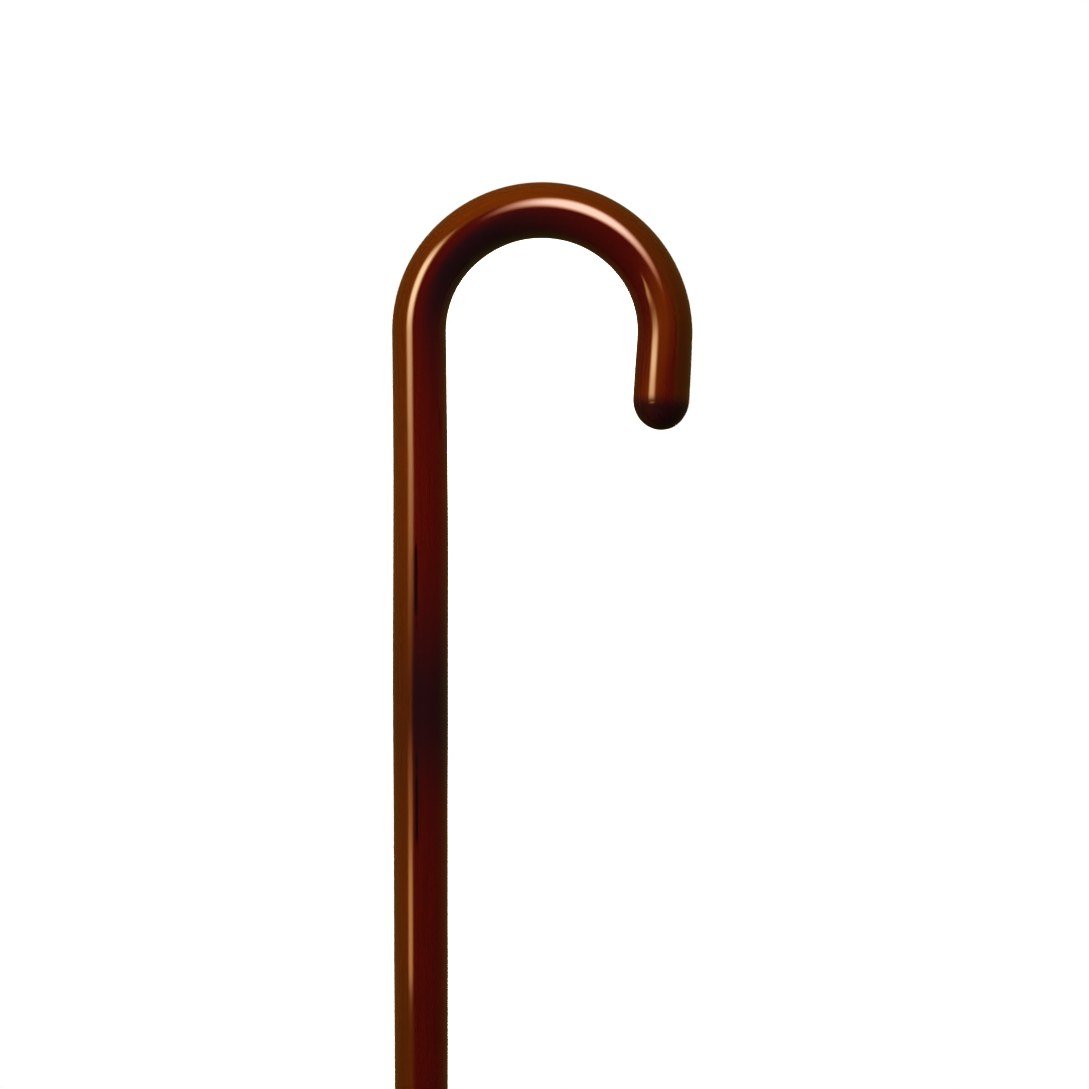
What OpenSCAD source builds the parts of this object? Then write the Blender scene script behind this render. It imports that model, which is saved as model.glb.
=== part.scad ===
// Walking cane with a round crook handle and a push-on rubber ferrule.
// The foot's centre is the origin, the shaft stands along +Z and the crook opens towards +X.

/* [Stick] */
// Height of the whole cane, from the floor to the top of the crook
total_height = 914.4; // [760:0.1:960]
// Diameter of the shaft, the crook and the nose
stick_d = 25.4; // [24:0.1:30]
// Radius of the crook, measured to the middle of the wood
crook_r = 57.15; // [45:0.05:70]
// Angle through which the wood is bent, so that past 180 the nose leans in
crook_angle = 183.5; // [175:0.5:190]
// Length of the straight leg between the bend and the domed end
nose_leg = 29.5; // [10:0.5:60]
// Height at which the shaft starts to taper on its way down
taper_top = 560; // [200:5:700]
// Diameter of the lower end, which the ferrule goes onto
seat_d = 22.2; // [20:0.1:23]
// Chamfer around the lower end
end_chamfer = 1.2; // [0.2:0.1:3]

/* [Ferrule] */
// Height of the rubber ferrule
ferrule_h = 48; // [42:0.5:60]
// Diameter of the ferrule's foot
foot_d = 38; // [36:0.5:50]
// Height of the thick flange around the foot
flange_h = 12; // [9:0.5:14]
// Diameter of the neck above the flare
neck_d = 29; // [27:0.5:32]
// Radius of the hollow curve from the flange up to the neck
flare_r = 20; // [16:0.5:24]
// Diameter of the bead around the ferrule's mouth
bead_d = 31; // [30:0.5:34]
// Height of that bead
bead_h = 5; // [3:0.5:7]
// Thickness of rubber between the floor and the washer
sole_t = 11.4; // [8:0.2:13]
// Clearance on the radius between the wood and the rubber
seat_clearance = 0.05; // [0.02:0.01:0.1]
// Depth of the grooves in the sole
tread_depth = 2; // [1:0.1:3]
// Width of each groove in the sole
tread_groove = 2; // [1.5:0.1:2.5]

/* [Washer] */
// Diameter of the steel washer in the bottom of the ferrule
washer_d = 21.6; // [16:0.2:22]
// Diameter of the washer's hole
washer_hole_d = 8; // [4:0.5:12]
// Thickness of the washer
washer_t = 1.6; // [1:0.1:2.5]

/* [Hidden] */
$fn = 96;

stick_r = stick_d / 2;
seat_r = seat_d / 2;
foot_r = foot_d / 2;
neck_r = neck_d / 2;
bead_r = bead_d / 2;
bore_r = seat_r + seat_clearance;

// The bend and then the nose are each this much slimmer on the radius than the length before,
// and start this far inside it, so that every surface meets the next one at a clean edge
slimming = 0.02;
lap = 0.5;
bend_section_r = stick_r - slimming;
nose_r = bend_section_r - slimming;

// The bend starts at this height, level with the middle of the crook
crook_z = total_height - bend_section_r - crook_r;
// The lower end of the wood stands this much clear of the washer
end_gap = 0.1;
stick_z = sole_t + washer_t + end_gap;

// Flange of the ferrule: its rounded rims and the two grip grooves around it
rim_r = 2;
grip_r = 0.7;
grip_z = [4.6, 7.4];
// The flange steps in by this much where the flare begins
flange_step = 1.5;
flare_foot_r = foot_r - flange_step;
// Height at which the flare runs into the neck
flare_out = flare_foot_r - neck_r;
flare_z = flange_h + sqrt(pow(flare_r, 2) - pow(flare_r - flare_out, 2));
// The mouth of the bore opens by this much, so the wood finds its way in
mouth_chamfer = 1;

// Inner radius of each ring groove in the sole, around a flat middle disc
tread_disc_r = 4.5;
tread_pitch = 4.2;
tread_rings = 3;

// Spare length by which a cutting shape passes the surface that it cuts
over = 1;

module shaft() {
    rotate_extrude()
        polygon([
            [0, stick_z],
            [seat_r - end_chamfer, stick_z],
            [seat_r, stick_z + end_chamfer],
            [seat_r, ferrule_h],
            [stick_r, taper_top],
            [stick_r, crook_z],
            [0, crook_z]
        ]);
}

// The bend runs from the shaft over the top and down the far side
module bend() {
    lap_angle = lap / crook_r * 180 / PI;
    translate([crook_r, 0, crook_z])
        rotate([90, 0, 0])
            mirror([1, 0, 0])
                rotate([0, 0, -lap_angle])
                    rotate_extrude(angle = crook_angle + lap_angle)
                        translate([crook_r, 0])
                            circle(r = bend_section_r, $fn = 48);
}

module nose_outline() {
    intersection() {
        union() {
            translate([0, -nose_leg])
                square([nose_r, nose_leg + lap]);
            translate([0, -nose_leg])
                circle(r = nose_r);
        }
        translate([0, -nose_leg - nose_r])
            square([nose_r, nose_leg + nose_r + lap]);
    }
}

module nose() {
    lean = crook_angle - 180;
    translate([crook_r * (1 + cos(lean)), 0, crook_z - crook_r * sin(lean)])
        rotate([0, lean, 0])
            rotate_extrude()
                nose_outline();
}

module stick() {
    color("#5a1208") {
        shaft();
        bend();
        nose();
    }
}

// A half outline from the axis out to `r`, with its outer corners rounded
module rounded_disc_outline(r, z, h, corner) {
    translate([0, z])
        square([r - corner, h]);
    translate([0, z + corner])
        square([r, h - 2 * corner]);
    for (corner_z = [z + corner, z + h - corner])
        translate([r - corner, corner_z])
            circle(r = corner);
}

module ferrule_skin_outline() {
    rounded_disc_outline(foot_r, 0, flange_h, rim_r);
    difference() {
        square([flare_foot_r, flare_z]);
        translate([neck_r + flare_r, flare_z])
            circle(r = flare_r);
    }
    square([neck_r, ferrule_h - bead_h / 2]);
    rounded_disc_outline(bead_r, ferrule_h - bead_h, bead_h, bead_h / 2 - 0.5);
}

module ferrule_outline() {
    difference() {
        ferrule_skin_outline();
        // Bore for the wood and the washer
        translate([-over, sole_t])
            square([bore_r + over, ferrule_h]);
        polygon([
            [0, ferrule_h - mouth_chamfer],
            [bore_r, ferrule_h - mouth_chamfer],
            [bore_r + mouth_chamfer + over, ferrule_h + over],
            [0, ferrule_h + over]
        ]);
        for (z = grip_z)
            translate([foot_r, z])
                circle(r = grip_r);
        for (ring = [0 : tread_rings - 1])
            translate([tread_disc_r + ring * tread_pitch, -over])
                square([tread_groove, tread_depth + over]);
    }
}

module ferrule() {
    color("#1b1b1c")
        rotate_extrude()
            ferrule_outline();
}

module ferrule_washer() {
    color("#b9bcc0")
        translate([0, 0, sole_t])
            rotate_extrude()
                translate([washer_hole_d / 2, 0])
                    square([(washer_d - washer_hole_d) / 2, washer_t]);
}

stick();
ferrule();
ferrule_washer();
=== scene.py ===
"""A lacquered walking cane with a bent crook handle and a push-on rubber ferrule.

Every length is in metres, in the cane's own frame: the foot's centre is the origin, the shaft stands
along +Z and the crook opens towards +X.
"""

import math
from types import SimpleNamespace

import bmesh
import bpy
from mathutils import Euler, Matrix, Vector


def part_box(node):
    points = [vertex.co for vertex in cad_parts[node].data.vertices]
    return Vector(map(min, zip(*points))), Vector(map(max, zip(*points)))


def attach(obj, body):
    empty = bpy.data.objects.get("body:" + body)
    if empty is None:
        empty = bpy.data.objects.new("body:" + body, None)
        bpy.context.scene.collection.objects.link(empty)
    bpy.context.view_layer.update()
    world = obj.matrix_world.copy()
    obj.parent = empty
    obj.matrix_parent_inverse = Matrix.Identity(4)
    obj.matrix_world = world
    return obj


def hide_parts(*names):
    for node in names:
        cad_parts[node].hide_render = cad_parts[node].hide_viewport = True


bl_info = {
    "name": "Crook-Handle Cane",
    "version": (1, 0, 0),
    "blender": (4, 5, 0),
    "location": "View3D > Sidebar > Cane",
    "description": "Adds a lacquered crook-handle cane with its rubber ferrule, and a studio to see it in",
    "category": "Add Mesh",
}

MM = 0.001

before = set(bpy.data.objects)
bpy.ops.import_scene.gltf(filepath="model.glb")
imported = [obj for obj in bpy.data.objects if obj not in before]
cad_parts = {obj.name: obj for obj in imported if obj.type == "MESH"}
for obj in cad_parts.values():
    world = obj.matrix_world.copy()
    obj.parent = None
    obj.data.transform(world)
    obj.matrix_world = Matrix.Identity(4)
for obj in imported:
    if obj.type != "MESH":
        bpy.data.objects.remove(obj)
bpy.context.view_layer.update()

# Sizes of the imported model. The shaft's axis is x = 0, and the crook's far side is its highest x.
STICK_LOW, STICK_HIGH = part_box("stick")
FERRULE_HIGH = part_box("ferrule")[1]
WASHER_LOW, WASHER_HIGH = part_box("ferrule_washer")
SHAFT_RADIUS = -STICK_LOW.x
CROOK_RADIUS = (STICK_HIGH.x - SHAFT_RADIUS) / 2
BEND_HEIGHT = STICK_HIGH.z - SHAFT_RADIUS - CROOK_RADIUS
CROOK_CENTRE = Vector((CROOK_RADIUS, 0, BEND_HEIGHT))


# ---------------------------------------------------------------- properties


def length_property(name, description, default):
    """A length in metres, shown in the scene's own unit."""
    return bpy.props.FloatProperty(
        name=name,
        description=description,
        default=default,
        min=0,
        max=2,
        precision=5,
        unit="LENGTH",
    )


def colour_property(name, description, default):
    """A linear colour."""
    return bpy.props.FloatVectorProperty(
        name=name,
        description=description,
        default=default,
        min=0,
        max=1,
        size=3,
        subtype="COLOR",
    )


class CaneStickSettings(bpy.types.PropertyGroup):
    """Sizes of the one length of wood that is shaft, crook and nose"""

    shaft_radius: length_property("Shaft Radius", "Radius of the wood above the taper", SHAFT_RADIUS)
    seat_radius: length_property("Seat Radius", "Radius of the end that the ferrule goes onto", 11.1 * MM)
    foot_height: length_property("Foot Height", "Height of the wood's lower end", STICK_LOW.z)
    seat_top: length_property("Seat Top", "Height at which the ferrule's seat ends", FERRULE_HIGH.z)
    taper_top: length_property("Taper Top", "Height at which the shaft starts to taper", 0.56)
    end_chamfer: length_property("End Chamfer", "Chamfer around the lower end", 1.2 * MM)
    bend_height: length_property("Bend Height", "Height at which the bend starts", BEND_HEIGHT)
    crook_radius: length_property("Crook Radius", "Radius of the bend to the wood's middle", CROOK_RADIUS)
    nose_leg: length_property("Nose Leg", "Straight length between the bend and the dome", 27.4 * MM)
    dome_length: length_property("Dome Length", "Length of the rounded end", 15.1 * MM)
    crook_angle: bpy.props.FloatProperty(
        name="Crook Angle",
        description="Angle through which the wood is bent",
        default=math.radians(183.5),
        min=math.radians(90),
        max=math.radians(200),
        unit="ROTATION",
    )
    swell: length_property("Swell", "Extra radius of the gentle swell in the shaft", 0.38 * MM)
    swell_height: length_property("Swell Height", "Height of the middle of the swell", 0.69)
    swell_reach: length_property("Swell Reach", "Distance over which the swell fades", 65 * MM)
    fullness: length_property("Crown Fullness", "How far the crown's underside is squeezed out", 1.1 * MM)
    nose_swell: length_property("Nose Swell", "Extra radius towards the domed end", 0.22 * MM)
    nose_flat: length_property("Nose Flat", "How far from round the nose's section is", 0.5 * MM)
    bow: length_property("Bow", "How far the upper shaft bows towards the crook's opening", 0.42 * MM)
    hand_wave: length_property("Hand Wave", "Slow unevenness left by turning and bending", 0.5 * MM)
    sand_wave: length_property("Sanding Wave", "Short ripples left by sanding", 0.07 * MM)


class CaneWoodSettings(bpy.types.PropertyGroup):
    """Colours of the stained and lacquered wood, and its painted light and painted shade"""

    heart: colour_property("Heart", "Deep red of the stained heartwood", (0.036, 0.0012, 0.0003))
    # Outer is painted light: the orange brown of the side towards the left-hand lights and their warm
    # reflection.
    outer: colour_property("Outer", "Orange brown of the crook's outer side", (0.054, 0.0130, 0.0002))
    # Shade is painted shade in the crook's hollow and on the dome, and the colour of the dark patch on the
    # shaft.
    shade: colour_property("Shade", "Nearly black stain of the dark places", (0.0034, 0.0018, 0.0052))
    bare: colour_property("Bare", "Bare sawn wood at the lower end", (0.36, 0.20, 0.10))
    patch_height: length_property("Patch Height", "Height of the dark patch", 0.674)
    # The hollow distance places painted shade in the crook's hollow.
    shaded_hollow_distance: length_property("Hollow Distance", "Length along the wood to the dark hollow", 0.892)
    ring_spacing: length_property("Ring Spacing", "Distance between growth rings", 2.4 * MM)


class CaneFerruleSettings(bpy.types.PropertyGroup):
    """Sizes and colour of the rubber ferrule and its washer"""

    foot_radius: length_property("Foot Radius", "Radius of the foot", FERRULE_HIGH.x)
    height: length_property("Height", "Height of the ferrule", FERRULE_HIGH.z)
    flange_height: length_property("Flange Height", "Height of the thick flange", 12 * MM)
    neck_radius: length_property("Neck Radius", "Radius of the neck", 14.5 * MM)
    flare_radius: length_property("Flare Radius", "Radius of the hollow curve up to the neck", 20 * MM)
    bead_radius: length_property("Bead Radius", "Radius of the bead around the mouth", 15.5 * MM)
    bead_height: length_property("Bead Height", "Height of that bead", 5 * MM)
    bore_radius: length_property("Bore Radius", "Radius of the bore", 11.15 * MM)
    tread_depth: length_property("Tread Depth", "Depth of the ring grooves in the sole", 2 * MM)
    tread_width: length_property("Tread Width", "Width of each ring groove", 2 * MM)
    tread_pitch: length_property("Tread Pitch", "Distance from one ring groove to the next", 4.2 * MM)
    rubber: colour_property("Rubber", "Colour of the moulded rubber", (0.012, 0.0115, 0.011))
    dust: colour_property("Dust", "Dust on the foot", (0.16, 0.14, 0.115))
    zinc: colour_property("Zinc", "Colour of the plated washer", (0.52, 0.54, 0.56))


class CaneStageSettings(bpy.types.PropertyGroup):
    """The camera's place and the floor"""

    distance: length_property("Camera Distance", "Distance from the camera to the cane", 1.408)
    aim_right: length_property("Aim Right", "How far right of the crook's centre it points", 1.1 * MM)
    aim_below: length_property("Aim Below", "How far below the crook's centre it points", 98.73 * MM)
    roll: bpy.props.FloatProperty(
        name="Camera Roll",
        description="Turn of the camera about its own line of sight",
        default=math.radians(-0.16),
        unit="ROTATION",
    )
    floor_radius: length_property("Floor Radius", "Radius of the pale floor", 1.6)
    floor: colour_property("Floor", "Colour of the pale floor", (0.80, 0.80, 0.795))


# ---------------------------------------------------------------- node helpers


class Wire:
    """A node's output. Python's operators on it add Math nodes."""

    def __init__(self, graph, socket):
        self.graph = graph
        self.socket = socket

    def output(self, name):
        """Another output of the same node."""
        return Wire(self.graph, self.socket.node.outputs[name])

    def __add__(self, other):
        return self.graph.math("ADD", self, other)

    def __radd__(self, other):
        return self.graph.math("ADD", other, self)

    def __sub__(self, other):
        return self.graph.math("SUBTRACT", self, other)

    def __rsub__(self, other):
        return self.graph.math("SUBTRACT", other, self)

    def __mul__(self, other):
        return self.graph.math("MULTIPLY", self, other)

    def __rmul__(self, other):
        return self.graph.math("MULTIPLY", other, self)

    def __truediv__(self, other):
        return self.graph.math("DIVIDE", self, other)

    def __pow__(self, other):
        return self.graph.math("POWER", self, other)

    def __neg__(self):
        return self.graph.math("MULTIPLY", self, -1)

    def __gt__(self, other):
        return self.graph.math("GREATER_THAN", self, other)

    def __lt__(self, other):
        return self.graph.math("LESS_THAN", self, other)


class Graph:
    """A node tree being built, each node one column to the right of what it reads."""

    COLUMN_WIDTH = 200
    ROW_HEIGHT = 190

    def __init__(self, tree):
        self.tree = tree
        self.column_of = {}
        self.filled = {}
        tree.nodes.clear()

    def node(self, kind, settings=None, inputs=None, output=0):
        """Adds a node, makes its settings first, fills its sockets and returns one output."""
        made = self.tree.nodes.new(kind)
        for name, value in (settings or {}).items():
            setattr(made, name, value)
        column = 0
        for key, value in (inputs or {}).items():
            if isinstance(value, Wire):
                self.tree.links.new(value.socket, made.inputs[key])
                column = max(column, self.column_of.get(value.socket.node.name, 0) + 1)
            else:
                made.inputs[key].default_value = value
        self.column_of[made.name] = column
        row = self.filled.get(column, 0)
        self.filled[column] = row + 1
        made.location = (column * self.COLUMN_WIDTH, -row * self.ROW_HEIGHT)
        return Wire(self, made.outputs[output]) if made.outputs else made

    def math(self, operation, *values):
        return self.node("ShaderNodeMath", {"operation": operation}, dict(enumerate(values)))

    def limit(self, value, low, high):
        return self.math("MINIMUM", self.math("MAXIMUM", value, low), high)

    def smooth(self, value, low, high):
        """0 below low and 1 above high, with a smooth rise between them, or the reverse if low > high."""
        sockets = {"Value": value, "From Min": low, "From Max": high, "To Min": 0.0, "To Max": 1.0}
        return self.node("ShaderNodeMapRange", {"interpolation_type": "SMOOTHSTEP"}, sockets)

    def bell(self, value, middle, reach):
        """1 at the middle, falling away like a bell curve."""
        away = (value - middle) / reach
        return self.math("EXPONENT", -(away * away))

    def split(self, vector):
        parts = self.node("ShaderNodeSeparateXYZ", inputs={0: vector})
        return parts, parts.output("Y"), parts.output("Z")

    def join(self, x, y, z):
        return self.node("ShaderNodeCombineXYZ", inputs={0: x, 1: y, 2: z})

    def stretch(self, vector, by):
        """A vector with each part multiplied by its own number."""
        return self.node("ShaderNodeVectorMath", {"operation": "MULTIPLY"}, {0: vector, 1: by})

    def shift(self, vector, by):
        return self.node("ShaderNodeVectorMath", {"operation": "ADD"}, {0: vector, 1: by})

    def dim(self, colour, by):
        """A colour times a value."""
        return self.node("ShaderNodeVectorMath", {"operation": "SCALE"}, {0: colour, "Scale": by})

    def noise(self, vector, detail, roughness=0.5):
        """Noise from 0 to 1 with one cell to a unit of the vector."""
        sockets = {"Vector": vector, "Scale": 1.0, "Detail": detail, "Roughness": roughness}
        return self.node("ShaderNodeTexNoise", inputs=sockets)

    def cells(self, vector):
        """Distance to the nearest of the points scattered one to a unit cube."""
        sockets = {"Vector": vector, "Scale": 1.0}
        return self.node("ShaderNodeTexVoronoi", inputs=sockets, output="Distance")

    def mix(self, factor, first, second):
        """Colours mixed by a factor."""
        settings = {"data_type": "RGBA", "clamp_factor": True}
        colours = [c if isinstance(c, Wire) else (*c, 1) for c in (first, second)]
        return self.node("ShaderNodeMix", settings, {0: factor, 6: colours[0], 7: colours[1]}, 2)

    def bump(self, height, distance):
        """A normal bent by a height of 0 to 1 that stands for this distance in metres."""
        sockets = {"Strength": 1.0, "Distance": distance, "Height": height}
        return self.node("ShaderNodeBump", inputs=sockets)


def surface_material(name):
    """A new material's graph, for finish_surface to end."""
    material = bpy.data.materials.new(name)
    material.use_nodes = True
    return material, Graph(material.node_tree)


def finish_surface(graph, sockets):
    """Ends a material in a Principled shader with these sockets."""
    shader = graph.node("ShaderNodeBsdfPrincipled", inputs=sockets)
    graph.node("ShaderNodeOutputMaterial", inputs={"Surface": shader})


def geometry_tree(name, inputs):
    """A Geometry Nodes tree with these {name: socket kind} inputs, as its graph and {name: wire}."""
    tree = bpy.data.node_groups.new(name, "GeometryNodeTree")
    tree.interface.new_socket("Mesh", in_out="OUTPUT", socket_type="NodeSocketGeometry")
    for label, kind in inputs.items():
        tree.interface.new_socket(label, in_out="INPUT", socket_type="NodeSocket" + kind)
    graph = Graph(tree)
    start = graph.node("NodeGroupInput")
    return graph, {label: start.output(label) for label in inputs}


def finish_tree(graph, mesh, material):
    """Ends a Geometry Nodes tree with real, smooth and finished geometry."""
    smooth = graph.node("GeometryNodeSetShadeSmooth", inputs={"Geometry": mesh})
    real = graph.node("GeometryNodeRealizeInstances", inputs={"Geometry": smooth})
    done = graph.node("GeometryNodeSetMaterial", inputs={"Geometry": real, "Material": material})
    graph.node("NodeGroupOutput", inputs={0: done})
    return graph.tree


def new_piece(name, mesh):
    """A mesh object at the origin, linked to the scene."""
    piece = bpy.data.objects.new(name, mesh)
    bpy.context.scene.collection.objects.link(piece)
    return piece


def grow_piece(name, tree, values):
    """Makes a plain mesh piece with a Geometry Nodes tree and the values of its inputs."""
    piece = new_piece(name, bpy.data.meshes.new(name))
    modifier = piece.modifiers.new(tree.name, "NODES")
    modifier.node_group = tree
    for item in tree.interface.items_tree:
        if item.in_out == "INPUT":
            modifier[item.identifier] = values[item.name]
    depsgraph = bpy.context.evaluated_depsgraph_get()
    grown = bpy.data.meshes.new_from_object(
        piece.evaluated_get(depsgraph), preserve_all_data_layers=True, depsgraph=depsgraph
    )
    if not grown.polygons:
        raise RuntimeError(f"the tree {tree.name} made no faces for {name}")
    piece.modifiers.remove(modifier)
    piece.data = grown
    return piece


# ---------------------------------------------------------------- turned shapes


def rounded_outline(corners, steps=5):
    """An outline of (r, z) points through (r, z, fillet) corners, each fillet an arc of some steps."""
    outline = []
    for index, (r, z, fillet) in enumerate(corners):
        corner = Vector((r, z))
        before = Vector(corners[index - 1][:2]) - corner
        after = Vector(corners[(index + 1) % len(corners)][:2]) - corner
        if fillet <= 0:
            outline.append((r, z))
            continue
        before_way, after_way = before.normalized(), after.normalized()
        half = before_way.angle(after_way) / 2
        reach = min(fillet / math.tan(half), 0.49 * before.length, 0.49 * after.length)
        radius = reach * math.tan(half)
        centre = corner + (before_way + after_way).normalized() * (radius / math.sin(half))
        first = (corner + before_way * reach) - centre
        turn = first.angle_signed((corner + after_way * reach) - centre)
        for step in range(steps + 1):
            swung = first.copy()
            swung.rotate(Matrix.Rotation(-turn * step / steps, 2))
            outline.append(tuple(centre + swung))
    return outline


def lathe(name, outline, angles, closed=False, shape=None):
    """A mesh turned from an outline about the Z axis. Points on the axis become one vertex each.

    A closed outline joins its last point to its first. shape(r, z, angle) may change the radius.
    """
    shell = bmesh.new()
    rings = []
    for r, z in outline:
        if r < 1e-7:
            rings.append([shell.verts.new((0, 0, z))])
            continue
        ring = []
        for angle in angles:
            reach = shape(r, z, angle) if shape else r
            ring.append(shell.verts.new((reach * math.cos(angle), reach * math.sin(angle), z)))
        rings.append(ring)
    pairs = list(zip(rings, rings[1:]))
    if closed:
        pairs.append((rings[-1], rings[0]))
    sides = len(angles)
    for lower, upper in pairs:
        for side in range(sides):
            loop = []
            for ring, order in ((lower, (side, side + 1)), (upper, (side + 1, side))):
                loop += [ring[0]] if len(ring) == 1 else [ring[place % sides] for place in order]
            shell.faces.new(loop)
    bmesh.ops.recalc_face_normals(shell, faces=shell.faces)
    mesh = bpy.data.meshes.new(name)
    shell.to_mesh(mesh)
    shell.free()
    shade_smooth(mesh)
    return mesh


def shade_smooth(mesh):
    """Smooth shading, with the sharper edges kept crisp."""
    mesh.shade_smooth()
    mesh.set_sharp_from_angle(angle=math.radians(35))


# ---------------------------------------------------------------- materials


def wood_figure(graph, wood, grain):
    """The wood's own pattern, as named wires, from a vector in millimetres in the unbent stick."""
    inward, aside, _ = graph.split(grain)

    # Growth rings around a pith that lies outside the stick, wandering as they run
    pith_inward, pith_aside, wander = -38, 26, 9
    drift = graph.noise(graph.stretch(grain, (0.045, 0.045, 0.009)), detail=3) - 0.5
    off_inward, off_aside = inward - pith_inward, aside - pith_aside
    from_pith = graph.math("SQRT", off_inward * off_inward + off_aside * off_aside)
    ring = graph.math("FRACT", (from_pith + drift * wander) / (wood.ring_spacing / MM))
    late_wood = graph.math("MINIMUM", ring**3, (1 - ring) * 9)

    # Fibres, and the broad cloudiness of hand-wiped stain
    fibre = graph.noise(graph.stretch(grain, (0.9, 0.9, 0.018)), detail=4, roughness=0.6)
    fine_fibre = graph.noise(graph.stretch(grain, (3.4, 3.4, 0.06)), detail=2)
    cloud = graph.noise(graph.stretch(grain, (0.05, 0.05, 0.014)), detail=3, roughness=0.6)

    # Pores are short dark dashes, thickest in the early wood, and ray flecks are paler spindles
    pore_cells = graph.cells(graph.stretch(grain, (3.2, 3.2, 0.17)))
    pores = graph.smooth(pore_cells, 0.26, 0.12) * graph.smooth(ring, 0.75, 0.2)
    fleck_cells = graph.cells(graph.shift(graph.stretch(grain, (1.15, 1.15, 0.21)), (7.3, 1.9, 4.1)))
    flecks = graph.smooth(fleck_cells, 0.2, 0.09) * graph.smooth(cloud, 0.42, 0.58)
    return SimpleNamespace(
        drift=drift,
        late_wood=late_wood,
        fibre=fibre,
        fine_fibre=fine_fibre,
        cloud=cloud,
        pores=pores,
        flecks=flecks,
    )


def thin_dark_streaks(graph, grain, figure):
    """Two thin dark streaks beside the middle of the shaft, tapered and each broken once."""
    inward, aside, along = graph.split(grain)
    taper, break_reach = 9, 1.6
    runs = 0
    for middle, reach, gap in ((727, 24, 712), (629, 26, 641)):
        run = graph.smooth(graph.math("ABSOLUTE", along - middle), reach, reach - taper)
        runs = run * (1 - graph.bell(along, gap, break_reach)) + runs
    off_line = graph.math("ABSOLUTE", inward + 1.3 + figure.drift * 0.8)
    ragged = off_line + (1 - runs) + (figure.fibre - 0.5) * 0.7
    front = graph.smooth(aside, 0, -4)
    return graph.smooth(ragged, 0.85, 0.35) * front


def stain_and_light_colour(graph, wood, grain, figure, dome):
    """Deep red, and orange brown on the crook's outer side and down the nose.

    The orange brown is painted light from the left-hand lights. The deep red is darker past the start
    of the bend. On the outer side painted light brightens the crown and painted shade darkens the nose,
    and a painted sheen lies beside the nose's highlight. It is nearly black in a patch on the shaft, and
    in painted shade in the hollow of the crook and on the dome.
    """
    inward, _, along = graph.split(grain)
    # Painted light: the outer side, towards the left-hand lights, turns orange brown along the bend and
    # over more of the nose.
    edge = inward + (figure.fibre - 0.5) * 1.6
    # Painted sheen: a warm, paler band beside the nose's highlight.
    nose_painted_sheen = graph.bell(inward, (along - 1008) * 0.12, 5.5) * graph.smooth(along, 976, 1010) * 0.7
    lit_outer_band = graph.smooth(edge + graph.smooth(along, 985, 1040) * 2.2, -2.0, -4.4)
    lit_side = graph.math("MAXIMUM", lit_outer_band, nose_painted_sheen)
    base = graph.mix(lit_side, wood.heart, wood.outer)

    # The deep red darkens past the start of the bend.
    bend_darkening = 0.24 * graph.smooth(along, 780, 880) * (1 - lit_side)
    # Painted light brightens the crown's outer top, and painted shade darkens the nose's outer side, away
    # from the lights.
    crown_painted_light = 0.15 * graph.bell(along, 930, 40) - 0.14 * graph.bell(along, 865, 45)
    outer_painted_light = (crown_painted_light - 0.6 * graph.smooth(along, 900, 1050)) * lit_outer_band
    stain_and_painted_light = 1 + (outer_painted_light + nose_painted_sheen * 0.3 - bend_darkening) * 0.9
    pale = figure.fibre * 0.46 + figure.fine_fibre * 0.22 + figure.cloud * 0.4 + figure.flecks * 0.3
    dark = figure.late_wood * 0.24 + figure.pores * 0.45
    tone = (0.65 + pale - dark) * stain_and_painted_light - thin_dark_streaks(graph, grain, figure)
    toned = graph.dim(base, graph.math("MAXIMUM", tone, 0.1))

    # Towards nearly black: a patch on the shaft, and painted shade in the crook's hollow and on the dome.
    patch_along = graph.bell(along, wood.patch_height / MM, 46)
    patch = patch_along * (0.45 + figure.cloud * 0.8) * (1 - lit_side * 0.66)
    # Painted shade in the hollow of the crook.
    hollow = graph.bell(along, wood.shaded_hollow_distance / MM, 62) * graph.smooth(inward, -3, 5)
    black = patch + hollow * (0.6 + figure.cloud * 0.6) + dome
    return graph.mix(graph.limit(black, 0, 0.86), toned, wood.shade)


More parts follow.
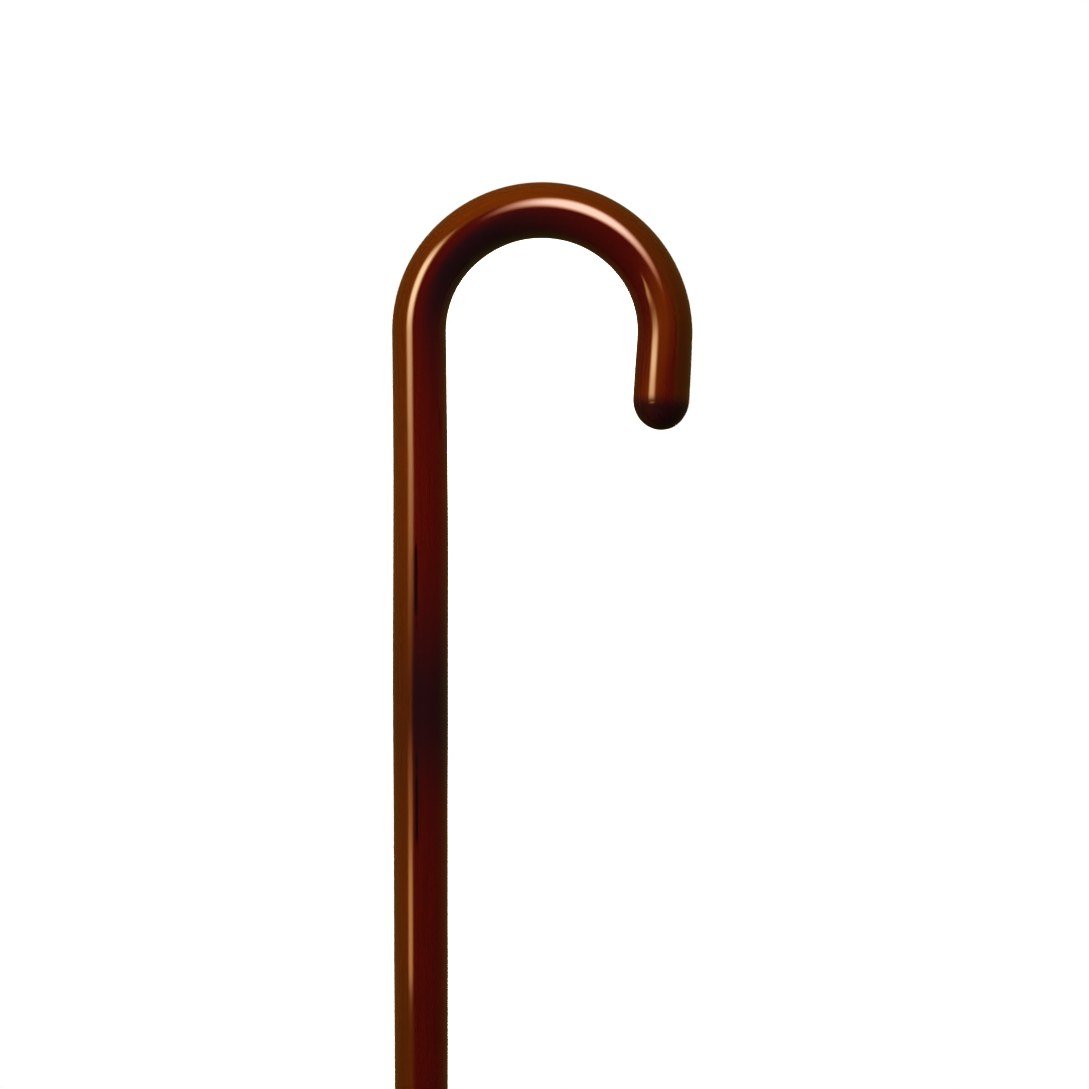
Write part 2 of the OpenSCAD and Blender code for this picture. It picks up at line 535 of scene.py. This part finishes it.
def wood_material(wood, stick):
    """Stained wood under clear gloss lacquer, its grain following the bend.

    The pattern reads the attribute "unbent": where each point lay, in metres, before the stick was
    bent, with +X towards the inside of the crook and Z along the wood. Here it is in millimetres.
    """
    material, graph = surface_material("lacquered wood")
    unbent = graph.node("ShaderNodeAttribute", {"attribute_name": "unbent"}, output="Vector")
    grain = graph.stretch(unbent, (1 / MM, 1 / MM, 1 / MM))
    along = graph.split(grain)[2]
    figure = wood_figure(graph, wood, grain)
    ragged = along + (figure.fibre - 0.5) * 3

    dome_base = (stick.bend_height + stick.crook_radius * stick.crook_angle + stick.nose_leg) / MM
    # Painted shade: the dome, turned down towards the dark below, is darkened. The same mask thins its
    # lacquer.
    dome = graph.smooth(ragged, dome_base - 3, dome_base + 5) * 0.8
    # The stained colour holds the painted light and painted shade as well as the stain.
    stained = stain_and_light_colour(graph, wood, grain, figure, dome)

    # The seat under the ferrule is rubbed dull, and the sawn end was never lacquered
    seat_top = stick.seat_top / MM
    seat = graph.smooth(ragged, seat_top + 0.5, seat_top - 1.5)
    rubbing = seat * graph.smooth(figure.fine_fibre + figure.cloud * 0.5, 0.62, 0.86)
    rubbed = graph.mix(rubbing * 0.7, stained, (0.016, 0.012, 0.010))
    foot = stick.foot_height / MM
    sawn = graph.smooth(along, foot + 1.3, foot + 0.4)
    sawn_wood = graph.mix(figure.late_wood, wood.bare, [part * 0.55 for part in wood.bare])
    end_grain = graph.dim(sawn_wood, 0.8 + figure.fine_fibre * 0.4)

    roughness = 0.24 + figure.fibre * 0.16 + figure.pores * 0.1 + seat * 0.3 + sawn * 0.3
    raised = figure.fibre * 0.35 + figure.fine_fibre * 0.25
    sunk = figure.pores * 0.8 + figure.late_wood * 0.15
    finish_surface(
        graph,
        {
            "Base Color": graph.mix(sawn, rubbed, end_grain),
            "Roughness": graph.limit(roughness, 0.1, 0.95),
            "Specular IOR Level": 0.0,
            "Coat Weight": (1 - seat * 0.75) * (1 - sawn) * (1 - dome * 0.7),
            "Coat Roughness": 0.06,
            "Coat IOR": 1.5,
            "Normal": graph.bump(raised - sunk, 0.02 * MM),
        },
    )
    return material


def rubber_material(ferrule):
    """Moulded black rubber: faint flow marks, fine stipple, dust and scuffs towards the sole."""
    material, graph = surface_material("black rubber")
    place = graph.node("ShaderNodeTexCoord", output="Object")
    grain = graph.stretch(place, (1 / MM, 1 / MM, 1 / MM))
    height = graph.split(grain)[2]

    mottle = graph.noise(graph.stretch(grain, (0.16, 0.16, 0.16)), detail=4, roughness=0.6)
    flow = graph.noise(graph.stretch(grain, (0.12, 0.12, 0.7)), detail=3)
    stipple = graph.noise(graph.stretch(grain, (3.1, 3.1, 3.1)), detail=2)
    pits = graph.smooth(graph.cells(graph.stretch(grain, (0.75, 0.75, 0.75))), 0.17, 0.07)

    # Dust lies low on the foot, and scuffs are short rubbed lines around the flange
    low = graph.smooth(height, 11, 0.5)
    dust = low * graph.smooth(mottle + stipple * 0.35, 0.5, 0.85)
    scuffs = graph.noise(graph.stretch(grain, (0.5, 0.5, 3.2)), detail=3, roughness=0.7)
    scuff = low * graph.smooth(scuffs, 0.58, 0.68)
    darker = [part * 0.7 for part in ferrule.rubber]
    base = graph.dim(graph.mix(mottle, darker, ferrule.rubber), 1.0 + flow * 0.5)
    colour = graph.mix(graph.limit(dust * 0.5 + scuff * 0.28, 0, 0.8), base, ferrule.dust)

    roughness = 0.44 + mottle * 0.16 + stipple * 0.1 + dust * 0.3 + scuff * 0.1
    relief = stipple * 0.5 + flow * 0.5 + mottle * 0.8 - pits * 0.8 + scuff * 0.4
    finish_surface(
        graph,
        {
            "Base Color": colour,
            "Roughness": graph.limit(roughness, 0.3, 0.95),
            "Specular IOR Level": 0.5,
            "Normal": graph.bump(relief, 0.07 * MM),
        },
    )
    return material


def zinc_material(ferrule):
    """Zinc-plated steel with stamping scratches and a dulled rim."""
    material, graph = surface_material("plated steel")
    place = graph.node("ShaderNodeTexCoord", output="Object")
    grain = graph.stretch(place, (1 / MM, 1 / MM, 1 / MM))
    across, aside, _ = graph.split(grain)
    spangle = graph.noise(graph.stretch(grain, (0.5, 0.5, 0.5)), detail=4, roughness=0.65)
    scratch_lines = graph.noise(graph.stretch(grain, (0.12, 4.5, 0.5)), detail=3, roughness=0.7)
    cross_lines = graph.noise(graph.join(across * 3.6 + aside * 2.1, aside * 0.16, 0.3), detail=3)
    scratches = graph.smooth(scratch_lines, 0.56, 0.66) * 0.6 + graph.smooth(cross_lines, 0.62, 0.7) * 0.4
    edge = graph.math("SQRT", across * across + aside * aside)
    worn = graph.smooth(edge, 9.6, 10.7)
    colour = graph.mix(
        graph.limit(spangle * 0.6 + worn * 0.3, 0, 1),
        ferrule.zinc,
        [part * 0.66 for part in ferrule.zinc],
    )
    finish_surface(
        graph,
        {
            "Base Color": colour,
            "Metallic": 1.0,
            "Roughness": graph.limit(0.24 + spangle * 0.22 + scratches * 0.16 + worn * 0.1, 0.15, 0.8),
            "Normal": graph.bump(scratches * 0.5 + spangle * 0.5, 0.012 * MM),
        },
    )
    return material


# ---------------------------------------------------------------- stick


def stick_tree():
    """Geometry Nodes that bend a unit cylinder into shaft, crook and domed nose.

    A point of the cylinder is known by its height, which becomes a length along the wood, and by its
    direction round the section. The upper cap is drawn out into the dome and the lower cap drops by
    the chamfer.
    """
    lengths = [
        "Shaft Radius",
        "Seat Radius",
        "Foot Height",
        "Seat Top",
        "Taper Top",
        "End Chamfer",
        "Bend Height",
        "Crook Radius",
        "Nose Leg",
        "Dome Length",
        "Swell",
        "Swell Height",
        "Swell Reach",
        "Crown Fullness",
        "Nose Swell",
        "Nose Flat",
        "Bow",
        "Hand Wave",
        "Sanding Wave",
    ]
    kinds = {name: "Float" for name in ["Crook Angle", "Seed", *lengths]}
    kinds |= {"Sides": "Int", "Segments": "Int", "Cap Rings": "Int", "Material": "Material"}
    graph, given = geometry_tree("Steam-Bent Stick", kinds)
    cylinder = graph.node(
        "GeometryNodeMeshCylinder",
        {"fill_type": "TRIANGLE_FAN"},
        {
            "Vertices": given["Sides"],
            "Side Segments": given["Segments"],
            "Fill Segments": given["Cap Rings"],
            "Radius": 1.0,
            "Depth": 1.0,
        },
    )
    x, y, z = graph.split(graph.node("GeometryNodeInputPosition"))
    spread = graph.math("SQRT", x * x + y * y)
    inward, aside = x / spread, y / spread

    # Length along the wood, and how far the bend has turned there
    rim = given["Foot Height"] + given["End Chamfer"]
    bend_length = given["Crook Radius"] * given["Crook Angle"]
    bend_end = given["Bend Height"] + bend_length
    along = rim + (z + 0.5) * (bend_end + given["Nose Leg"] - rim)
    turned = graph.limit((along - given["Bend Height"]) / given["Crook Radius"], 0, given["Crook Angle"])
    past_bend = graph.math("MAXIMUM", along - bend_end, 0)
    shaft_z = graph.math("MINIMUM", along, given["Bend Height"])
    cosine, sine = graph.math("COSINE", turned), graph.math("SINE", turned)

    # Radius: seat, taper, swell, and the unevenness of wood turned and sanded by hand
    taper = graph.limit((along - given["Seat Top"]) / (given["Taper Top"] - given["Seat Top"]), 0, 1)
    section = graph.join(
        inward * given["Shaft Radius"] + given["Seed"], aside * given["Shaft Radius"], along
    )
    slow = graph.noise(graph.stretch(section, (14, 14, 11)), detail=1) - 0.5
    short = graph.noise(graph.stretch(section, (70, 70, 34)), detail=1) - 0.5
    uneven = taper * (slow * given["Hand Wave"] + short * given["Sanding Wave"])
    swell = given["Swell"] * graph.bell(along, given["Swell Height"], given["Swell Reach"])
    nose_swell = given["Nose Swell"] * graph.smooth(past_bend, 0, given["Nose Leg"] * 0.7)
    oval = (inward * inward - aside * aside) * 0.7 + inward * aside * 1.4
    nose_oval = given["Nose Flat"] * oval * graph.smooth(along, bend_end - 0.03, bend_end + 0.01)
    tapered = given["Seat Radius"] + (given["Shaft Radius"] - given["Seat Radius"]) * taper
    radius = tapered + uneven + swell + nose_swell + nose_oval

    # Caps: an oval dome above, and below a flat end inside its chamfer
    climb = (1 - spread) * (z > 0) * (math.pi / 2)
    under = (z < 0) * (spread < 0.999)
    inner_rings = given["Cap Rings"] / (given["Cap Rings"] - 1)
    flat = (radius - given["End Chamfer"]) * spread * inner_rings
    round_reach = radius * graph.math("COSINE", climb)
    reach = round_reach + under * (flat - round_reach)
    beyond = given["Dome Length"] * graph.math("SINE", climb) - under * given["End Chamfer"]
    squeezed = given["Crown Fullness"] * sine * sine * (inward + 1) / 2
    lower_bow = graph.bell(along, given["Bend Height"] - 0.085, 0.06)
    upper_bow = graph.bell(along, given["Bend Height"] + 0.025, 0.035)
    bowed = given["Bow"] * (lower_bow - 0.65 * upper_bow)

    across = reach * inward + squeezed + bowed
    side = reach * aside
    ahead = past_bend + beyond
    bent = graph.join(
        given["Crook Radius"] * (1 - cosine) + ahead * sine + across * cosine,
        side,
        shaft_z + given["Crook Radius"] * sine + ahead * cosine - across * sine,
    )
    marked = graph.node(
        "GeometryNodeStoreNamedAttribute",
        {"data_type": "FLOAT_VECTOR", "domain": "POINT"},
        {"Geometry": cylinder, "Name": "unbent", "Value": graph.join(across, side, along + beyond)},
    )
    shaped = graph.node("GeometryNodeSetPosition", inputs={"Geometry": marked, "Position": bent})
    return finish_tree(graph, shaped, given["Material"])


class CANE_OT_stick(bpy.types.Operator):
    """Add the wooden stick: shaft, crook and nose in one bent length"""

    bl_idname = "cane.stick"
    bl_label = "Stick"

    def execute(self, context):
        sizes = context.scene.cane_stick
        values = {
            "Shaft Radius": sizes.shaft_radius,
            "Seat Radius": sizes.seat_radius,
            "Foot Height": sizes.foot_height,
            "Seat Top": sizes.seat_top,
            "Taper Top": sizes.taper_top,
            "End Chamfer": sizes.end_chamfer,
            "Bend Height": sizes.bend_height,
            "Crook Radius": sizes.crook_radius,
            "Crook Angle": sizes.crook_angle,
            "Nose Leg": sizes.nose_leg,
            "Dome Length": sizes.dome_length,
            "Swell": sizes.swell,
            "Swell Height": sizes.swell_height,
            "Swell Reach": sizes.swell_reach,
            "Crown Fullness": sizes.fullness,
            "Nose Swell": sizes.nose_swell,
            "Nose Flat": sizes.nose_flat,
            "Bow": sizes.bow,
            "Hand Wave": sizes.hand_wave,
            "Sanding Wave": sizes.sand_wave,
            "Seed": 3.7,
            "Sides": 88,
            "Segments": 720,
            "Cap Rings": 24,
            "Material": wood_material(context.scene.cane_wood, sizes),
        }
        stick = grow_piece("bent_stick", stick_tree(), values)
        shade_smooth(stick.data)
        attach(stick, "stick")
        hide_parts("stick")
        return {"FINISHED"}


# ---------------------------------------------------------------- ferrule


TREAD_DISC_RADIUS = 4.5 * MM
TREAD_RINGS = 3
TREAD_WEBS = (6, 10, 14)


def tread_start(sizes, ring):
    """Inner radius of one of the sole's ring grooves."""
    return TREAD_DISC_RADIUS + ring * sizes.tread_pitch


def sole_corners(sizes):
    """From the middle of the sole outwards, across the ring grooves."""
    corners = [(0, 0, 0)]
    draft = 0.15 * MM
    for ring in range(TREAD_RINGS):
        start = tread_start(sizes, ring)
        end = start + sizes.tread_width
        corners += [
            (start, 0, 0.35 * MM),
            (start + draft, sizes.tread_depth, 0.45 * MM),
            (end - draft, sizes.tread_depth, 0.45 * MM),
            (end, 0, 0.35 * MM),
        ]
    return corners


def flange_corners(sizes):
    """Up the side of the flange, past its two grip grooves, and onto its top."""
    rim = 2 * MM
    groove_half, groove_depth = 0.8 * MM, 0.7 * MM
    corners = [(sizes.foot_radius, 0, rim)]
    for height in (4.6 * MM, 7.4 * MM):
        corners += [
            (sizes.foot_radius, height - groove_half, 0.25 * MM),
            (sizes.foot_radius - groove_depth, height - groove_half / 2, 0.4 * MM),
            (sizes.foot_radius - groove_depth, height + groove_half / 2, 0.4 * MM),
            (sizes.foot_radius, height + groove_half, 0.25 * MM),
        ]
    corners.append((sizes.foot_radius, sizes.flange_height, rim))
    return corners


def flare_corners(sizes, steps=16):
    """The hollow curve from the flange's top up to the neck."""
    flare_out = sizes.foot_radius - 1.5 * MM - sizes.neck_radius
    lowest = math.acos(1 - flare_out / sizes.flare_radius)
    top = sizes.flange_height + sizes.flare_radius * math.sin(lowest)
    corners = []
    for step in range(steps + 1):
        angle = lowest * (1 - step / steps)
        corners.append(
            (
                sizes.neck_radius + sizes.flare_radius * (1 - math.cos(angle)),
                top - sizes.flare_radius * math.sin(angle),
                0.7 * MM if step == 0 else 0,
            )
        )
    return corners


def mouth_corners(sizes):
    """Over the bead and down into the bore, whose shallow grooves let the air out."""
    mouth = 1 * MM
    bead_foot = sizes.height - sizes.bead_height
    corners = [
        (sizes.neck_radius, bead_foot, 0.45 * MM),
        (sizes.bead_radius, bead_foot + 0.7 * MM, 1.1 * MM),
        (sizes.bead_radius, sizes.height, 1.9 * MM),
        (sizes.bore_radius + mouth, sizes.height, 0.35 * MM),
        (sizes.bore_radius, sizes.height - mouth, 0.35 * MM),
    ]
    groove_half, groove_depth = 0.7 * MM, 0.4 * MM
    for height in (38 * MM, 31 * MM, 24 * MM):
        corners += [
            (sizes.bore_radius, height + groove_half, 0.2 * MM),
            (sizes.bore_radius + groove_depth, height, 0.4 * MM),
            (sizes.bore_radius, height - groove_half, 0.2 * MM),
        ]
    sole_top = WASHER_LOW.z
    return corners + [(sizes.bore_radius, sole_top, 0.4 * MM), (0, sole_top, 0)]


def ferrule_mesh(sizes):
    """The ferrule turned from its outline, with the thin raised line where the mould's halves met."""
    outline = rounded_outline(
        sole_corners(sizes) + flange_corners(sizes) + flare_corners(sizes) + mouth_corners(sizes)
    )
    seam_angles = (0, math.pi)
    sides = 120
    near_seam = [math.radians(step) for step in (-1.5, -0.9, -0.45, 0.45, 0.9, 1.5)]
    angles = [side * math.tau / sides for side in range(sides)]
    angles += [(seam + step) % math.tau for seam in seam_angles for step in near_seam]
    flash, flash_reach = 0.14 * MM, 0.17 * MM
    outside_from, seam_foot = sizes.bore_radius + 1.5 * MM, 1.2 * MM

    def seamed(r, z, angle):
        if r < outside_from or z < seam_foot:
            return r
        away = min(abs(math.remainder(angle - seam, math.tau)) for seam in seam_angles) * r
        return r + flash * math.exp(-((away / flash_reach) ** 2))

    return lathe("rubber_ferrule", outline, sorted(angles), shape=seamed)


def web_tree():
    """Geometry Nodes that bridge the sole's ring grooves with short radial webs."""
    kinds = {f"Webs {ring + 1}": "Int" for ring in range(TREAD_RINGS)}
    kinds |= {"First Radius": "Float", "Pitch": "Float", "Web Length": "Float", "Web Width": "Float"}
    kinds |= {"Web Height": "Float", "Web Foot": "Float", "Material": "Material"}
    graph, given = geometry_tree("Sole Webs", kinds)
    size = graph.join(given["Web Length"], given["Web Width"], given["Web Height"])
    web = graph.node(
        "GeometryNodeMeshCube", inputs={"Size": size, "Vertices X": 3, "Vertices Y": 3, "Vertices Z": 3}
    )
    joined = graph.node("GeometryNodeJoinGeometry")
    index = graph.node("GeometryNodeInputIndex")
    lift = graph.join(0.0, 0.0, given["Web Foot"] + given["Web Height"] / 2)
    for ring in range(TREAD_RINGS):
        count = given[f"Webs {ring + 1}"]
        circle = graph.node(
            "GeometryNodeMeshCircle",
            inputs={"Vertices": count, "Radius": given["First Radius"] + given["Pitch"] * ring},
        )
        turn = graph.join(0.0, 0.0, index * math.tau / count)
        rotation = graph.node("FunctionNodeEulerToRotation", inputs={0: turn})
        webs = graph.node(
            "GeometryNodeInstanceOnPoints",
            inputs={"Points": circle, "Instance": web, "Rotation": rotation},
        )
        graph.tree.links.new(webs.socket, joined.socket.node.inputs[0])
    placed = graph.node("GeometryNodeTransform", inputs={"Geometry": joined, "Translation": lift})
    return finish_tree(graph, placed, given["Material"])


class CANE_OT_ferrule(bpy.types.Operator):
    """Add the rubber ferrule and the webs in its sole"""

    bl_idname = "cane.ferrule"
    bl_label = "Ferrule"

    def execute(self, context):
        sizes = context.scene.cane_ferrule
        rubber = rubber_material(sizes)
        shell = new_piece("rubber_ferrule", ferrule_mesh(sizes))
        shell.data.materials.append(rubber)
        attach(shell, "ferrule")
        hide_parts("ferrule")

        values = {f"Webs {ring + 1}": count for ring, count in enumerate(TREAD_WEBS)}
        values |= {
            "First Radius": tread_start(sizes, 0) + sizes.tread_width / 2,
            "Pitch": sizes.tread_pitch,
            "Web Length": sizes.tread_width + 0.3 * MM,
            "Web Width": 1.2 * MM,
            "Web Height": sizes.tread_depth - 0.3 * MM,
            "Web Foot": 0.5 * MM,
            "Material": rubber,
        }
        webs = grow_piece("sole_webs", web_tree(), values)
        shade_smooth(webs.data)
        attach(webs, "ferrule")
        return {"FINISHED"}


class CANE_OT_washer(bpy.types.Operator):
    """Add the plated washer that lies in the bottom of the ferrule"""

    bl_idname = "cane.washer"
    bl_label = "Washer"

    def execute(self, context):
        hole_radius = 4 * MM
        rolled, crisp = 0.45 * MM, 0.12 * MM
        outline = rounded_outline(
            [
                (hole_radius, WASHER_LOW.z, crisp),
                (WASHER_HIGH.x, WASHER_LOW.z, crisp),
                (WASHER_HIGH.x, WASHER_HIGH.z, rolled),
                (hole_radius, WASHER_HIGH.z, rolled),
            ]
        )
        sides = 96
        angles = [side * math.tau / sides for side in range(sides)]
        washer = new_piece("washer", lathe("washer", outline, angles, closed=True))
        washer.data.materials.append(zinc_material(context.scene.cane_ferrule))
        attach(washer, "ferrule")
        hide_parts("ferrule_washer")
        return {"FINISHED"}


# ---------------------------------------------------------------- stage


def panel_light(name, centre, target, size, radiance, colours, soft_side=0.3, soft_low=0.3, soft_high=0.3):
    """A rectangular light of this (width, height) that faces a target and fades towards its edges.

    Its colours are the (bright, faded) ones, and each softness is the share over which an edge fades.
    Returns the light's object.
    """

    def fading(graph, side, up):
        across = graph.smooth(side, 0, soft_side) * graph.smooth(side, 1, 1 - soft_side)
        return across * graph.smooth(up, 0, soft_low) * graph.smooth(up, 1, 1 - soft_high)

    return faded_light(name, centre, target, size, radiance, colours, fading)


def round_light(name, centre, target, size, radiance, colours, core):
    """A light that fades from an inner ellipse, the core's share of its size, to its outline."""

    def fading(graph, side, up):
        side, up = side * 2 - 1, up * 2 - 1
        return graph.smooth(graph.math("SQRT", side * side + up * up), 1, core)

    return faded_light(name, centre, target, size, radiance, colours, fading)


def faded_light(name, centre, target, size, radiance, colours, fading):
    """A flat light whose strength is fading(graph, side, up), from 0 to 1 over its two unit spans."""
    light = bpy.data.lights.new(name, "AREA")
    light.shape = "RECTANGLE"
    light.size, light.size_y = size
    light.energy = math.pi * size[0] * size[1]
    light.use_nodes = True
    graph = Graph(light.node_tree)
    place = graph.node("ShaderNodeNewGeometry", output="Parametric")
    side, up, _ = graph.split(place)
    fade = fading(graph, side, up)
    colour = graph.mix(fade, colours[1], colours[0])
    glow = graph.node("ShaderNodeEmission", inputs={"Color": colour, "Strength": fade * radiance})
    graph.node("ShaderNodeOutputLight", inputs={"Surface": glow})
    panel = bpy.data.objects.new(name, light)
    panel.location = centre
    panel.rotation_euler = (Vector(target) - Vector(centre)).to_track_quat("-Z", "Y").to_euler()
    bpy.context.scene.collection.objects.link(panel)
    return panel


def around(target, azimuth, elevation, distance):
    """A place seen from the target at an azimuth from the camera's side and an elevation, in degrees."""
    turn, climb = math.radians(azimuth), math.radians(elevation)
    flat = distance * math.cos(climb)
    offset = (flat * math.sin(turn), -flat * math.cos(turn), distance * math.sin(climb))
    return Vector(target) + Vector(offset)


def add_lights():
    """Two stacked panels at the left, a soft box above the crook, a panel behind and two fills."""
    warm = ((1.0, 0.75, 0.45), (1.0, 0.42, 0.10))
    copper = ((1.0, 0.48, 0.17), (1.0, 0.25, 0.06))
    peach = ((0.97, 0.69, 0.54), (1.0, 0.30, 0.10))
    pale = ((1.0, 0.86, 0.72), (1.0, 0.6, 0.35))
    for name, azimuth, low, high, distance, width, radiance, colours, soft_low, soft_high in (
        ("Left Panel", -40, 0.61, 1.68, 1.0, 0.64, 20.5, warm, 0.50, 0.36),
        ("Lower Left Panel", -42, 0.03, 0.48, 3.2, 1.7, 8, copper, 0.1, 0.65),
    ):
        target = (0, 0, (low + high) / 2)
        centre = around(target, azimuth, 0, distance)
        size = (width, high - low)
        panel_light(name, centre, target, size, radiance, colours, 0.38, soft_low, soft_high)
    crown = (0.08, 0, STICK_HIGH.z - SHAFT_RADIUS)
    above = around(crown, azimuth=9, elevation=28, distance=1.2)
    round_light("Top Soft Box", above, crown, size=(0.94, 1.12), radiance=24, colours=peach, core=0.3)
    middle = (0.03, 0, 0.5)
    behind = around(middle, azimuth=180, elevation=2, distance=1.5)
    panel_light("Back Panel", behind, middle, size=(0.8, 1.3), radiance=15, colours=pale)
    for name, azimuth, radiance in (("Right Fill", 120, 7.5), ("Left Fill", -135, 7)):
        beside = around(middle, azimuth, elevation=6, distance=1.6)
        fill = panel_light(name, beside, middle, (1.2, 1.4), radiance, pale)
        fill.visible_glossy = False


def add_world():
    """White to the camera. The gloss sees a dim room instead: cool in front, amber beside and behind."""
    world = bpy.data.worlds.new("Studio")
    world.use_nodes = True
    graph = Graph(world.node_tree)
    rays = graph.node("ShaderNodeLightPath", output="Is Camera Ray")
    behind = graph.split(graph.node("ShaderNodeTexCoord", output="Generated"))[1]
    cool, amber = (0.008, 0.04, 0.03), (0.15, 0.11, 0.03)
    room = graph.mix(graph.smooth(behind, -0.5, 0.5), cool, amber)
    glow = graph.node("ShaderNodeBackground", inputs={"Color": graph.mix(rays, room, (1, 1, 1))})
    graph.node("ShaderNodeOutputWorld", inputs={"Surface": glow})
    bpy.context.scene.world = world


def floor_material(stage):
    """A pale floor that fades to white and takes only a faint shadow."""
    material, graph = surface_material("pale floor")
    place = graph.node("ShaderNodeTexCoord", output="Object")
    x, y, _ = graph.split(place)
    far = graph.smooth(graph.math("SQRT", x * x + y * y), 0.35, stage.floor_radius * 0.75)
    pale = graph.mix(far, stage.floor, (1, 1, 1))
    glow = graph.node("ShaderNodeEmission", inputs={"Color": pale, "Strength": 1.0})
    catch = 0.13
    lit = graph.node("ShaderNodeBsdfDiffuse", inputs={"Color": graph.mix(far, [catch] * 3, (0, 0, 0))})
    both = graph.node("ShaderNodeAddShader", inputs={0: glow, 1: lit})
    graph.node("ShaderNodeOutputMaterial", inputs={"Surface": both})
    return material


def add_floor(stage):
    """A round floor that stays under the foot. It throws no light back at the cane."""
    disc = bmesh.new()
    bmesh.ops.create_circle(disc, cap_ends=True, segments=128, radius=stage.floor_radius)
    mesh = bpy.data.meshes.new("floor")
    disc.to_mesh(mesh)
    disc.free()
    floor = new_piece("floor", mesh)
    floor.data.materials.append(floor_material(stage))
    floor.visible_glossy = False
    floor.visible_diffuse = False
    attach(floor, "ferrule")


def add_camera(stage):
    """A long lens level with the upper shaft, looking along +Y."""
    camera = bpy.data.cameras.new("Camera")
    camera.lens = 100
    camera.sensor_width = 36
    turn = Euler((math.radians(90), 0, 0)).to_matrix() @ Matrix.Rotation(stage.roll, 3, "Z")
    aim = CROOK_CENTRE + turn @ Vector((stage.aim_right, -stage.aim_below, 0))
    holder = bpy.data.objects.new("Camera", camera)
    holder.matrix_world = Matrix.Translation(aim - Vector((0, stage.distance, 0))) @ turn.to_4x4()
    bpy.context.scene.collection.objects.link(holder)
    bpy.context.scene.camera = holder


class CANE_OT_stage(bpy.types.Operator):
    """Add the camera, the lights and the pale floor"""

    bl_idname = "cane.stage"
    bl_label = "Stage"

    def execute(self, context):
        context.scene.view_settings.view_transform = "Standard"
        add_camera(context.scene.cane_stage)
        add_lights()
        add_world()
        add_floor(context.scene.cane_stage)
        return {"FINISHED"}


# ---------------------------------------------------------------- add-on


class CANE_PT_sidebar(bpy.types.Panel):
    """The cane's sizes, colours and pieces"""

    bl_label = "Crook-Handle Cane"
    bl_idname = "CANE_PT_sidebar"
    bl_space_type = "VIEW_3D"
    bl_region_type = "UI"
    bl_category = "Cane"

    def draw(self, context):
        for operator in OPERATORS:
            self.layout.operator(operator.bl_idname)
        for holder, settings in SETTINGS.items():
            box = self.layout.box()
            for name in settings.__annotations__:
                box.prop(getattr(context.scene, holder), name)


SETTINGS = {
    "cane_stick": CaneStickSettings,
    "cane_wood": CaneWoodSettings,
    "cane_ferrule": CaneFerruleSettings,
    "cane_stage": CaneStageSettings,
}
OPERATORS = (CANE_OT_stage, CANE_OT_stick, CANE_OT_ferrule, CANE_OT_washer)


def register():
    for cls in (*SETTINGS.values(), *OPERATORS, CANE_PT_sidebar):
        bpy.utils.register_class(cls)
    for holder, settings in SETTINGS.items():
        setattr(bpy.types.Scene, holder, bpy.props.PointerProperty(type=settings))


def unregister():
    for holder in SETTINGS:
        delattr(bpy.types.Scene, holder)
    for cls in reversed((*SETTINGS.values(), *OPERATORS, CANE_PT_sidebar)):
        bpy.utils.unregister_class(cls)


def main():
    register()
    bpy.ops.cane.stage()
    bpy.ops.cane.stick()
    bpy.ops.cane.ferrule()
    bpy.ops.cane.washer()


if __name__ == "__main__":
    main()
